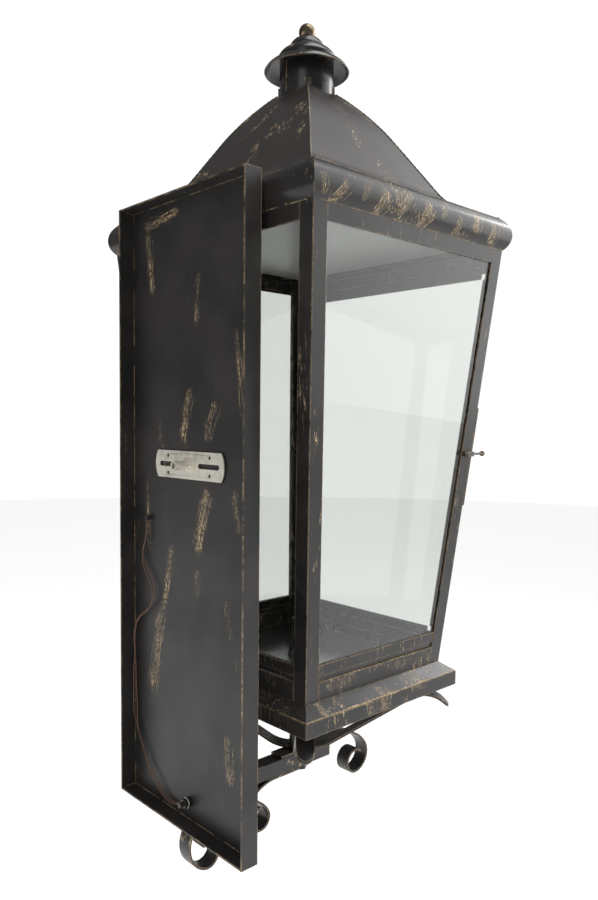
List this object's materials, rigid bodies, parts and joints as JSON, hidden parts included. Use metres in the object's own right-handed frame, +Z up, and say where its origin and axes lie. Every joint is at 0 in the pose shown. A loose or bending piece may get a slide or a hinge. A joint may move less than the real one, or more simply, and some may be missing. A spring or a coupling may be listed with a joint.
{
  "type": "outdoor wall lantern",
  "caption": "Tapered glazed wall lantern with a hinged door, flared roof and ball finial, carried by a scrolled bracket arm on a folded wall box.",
  "frame": {"origin": "the axis of the threaded nipple where it meets the wall plane", "axes": "+X to the right of someone facing the wall, -Y out of the wall towards the lantern, +Z up"},
  "size_m": [0.376, 0.3603, 0.9974],
  "materials": {
    "black_metal": "satin black rubbed through to old gold on the edges",
    "zinc_steel": "zinc plated",
    "brass": "aged, satin",
    "glass": "clear",
    "black_plastic": "matt",
    "lead_sheath": "brown sheath"
  },
  "bodies": {
    "lantern": {"arm_end_cap": "black_metal", "arm_root_plate": "black_metal", "base_pan": "black_metal", "base_skirt": "black_metal", "brace_strip": "black_metal", "bracket_arm": "black_metal", "c_scroll": "black_metal", "cap_brim": "black_metal", "cap_dome_lower": "black_metal", "cap_dome_upper": "black_metal", "ceiling_plate": "black_metal", "chimney_pipe": "black_metal", "cone_nut": "black_metal", "cradle_hub": "black_metal", "cradle_leg_back_left": "black_metal", "cradle_leg_back_right": "black_metal", "cradle_leg_front_left": "black_metal", "cradle_leg_front_right": "black_metal", "earth_lead": "lead_sheath", "earth_lead_twin": "lead_sheath", "earth_nuts": "zinc_steel", "earth_ring": "zinc_steel", "earth_stud": "zinc_steel", "eave_moulding": "black_metal", "finial_ball": "brass", "floor_plate": "black_metal", "frame_hinges": "black_metal", "front_scroll": "black_metal", "glass_back": "glass", "glass_beads": "black_metal", "glass_left": "glass", "glass_right": "glass", "hinge_pins": "zinc_steel", "lampholder": "black_plastic", "latch_sleeve": "black_metal", "lead_clip": "black_plastic", "nipple": "zinc_steel", "nipple_cap": "brass", "nipple_nut": "zinc_steel", "nipple_washer": "zinc_steel", "pipe_screws": "zinc_steel", "plinth_band": "black_metal", "post_back_left": "black_metal", "post_back_right": "black_metal", "post_front_left": "black_metal", "post_front_right": "black_metal", "roof_shell": "black_metal", "stem_rod": "zinc_steel", "stem_tube": "black_metal", "tie_rod": "zinc_steel", "top_rails": "black_metal", "wall_box": "black_metal"},
    "door": {"door_frame": "black_metal", "door_glass": "glass", "latch_strike": "black_metal", "door_hinges": "black_metal"},
    "latch": {"latch_turn": "black_metal"},
    "wall_strap": {"crossbar": "zinc_steel"}
  },
  "joints": [
    {"name": "door_hinge", "type": "hinge", "parent": "lantern", "child": "door", "pos_m": [0.15681, -0.3313, 0.01515], "axis": [0.0969, -0.086, 0.9916], "range_deg": [0, 105]},
    {"name": "latch_turn", "type": "hinge", "parent": "lantern", "child": "latch", "pos_m": [-0.15792, -0.32827, 0.0115], "axis": [0, -1, 0], "range_deg": [0, 90]},
    {"name": "strap_swivel", "type": "hinge", "parent": "lantern", "child": "wall_strap", "pos_m": [0, -0.0174, 0], "axis": [0, 1, 0], "range_deg": [-90, 90]}
  ]
}
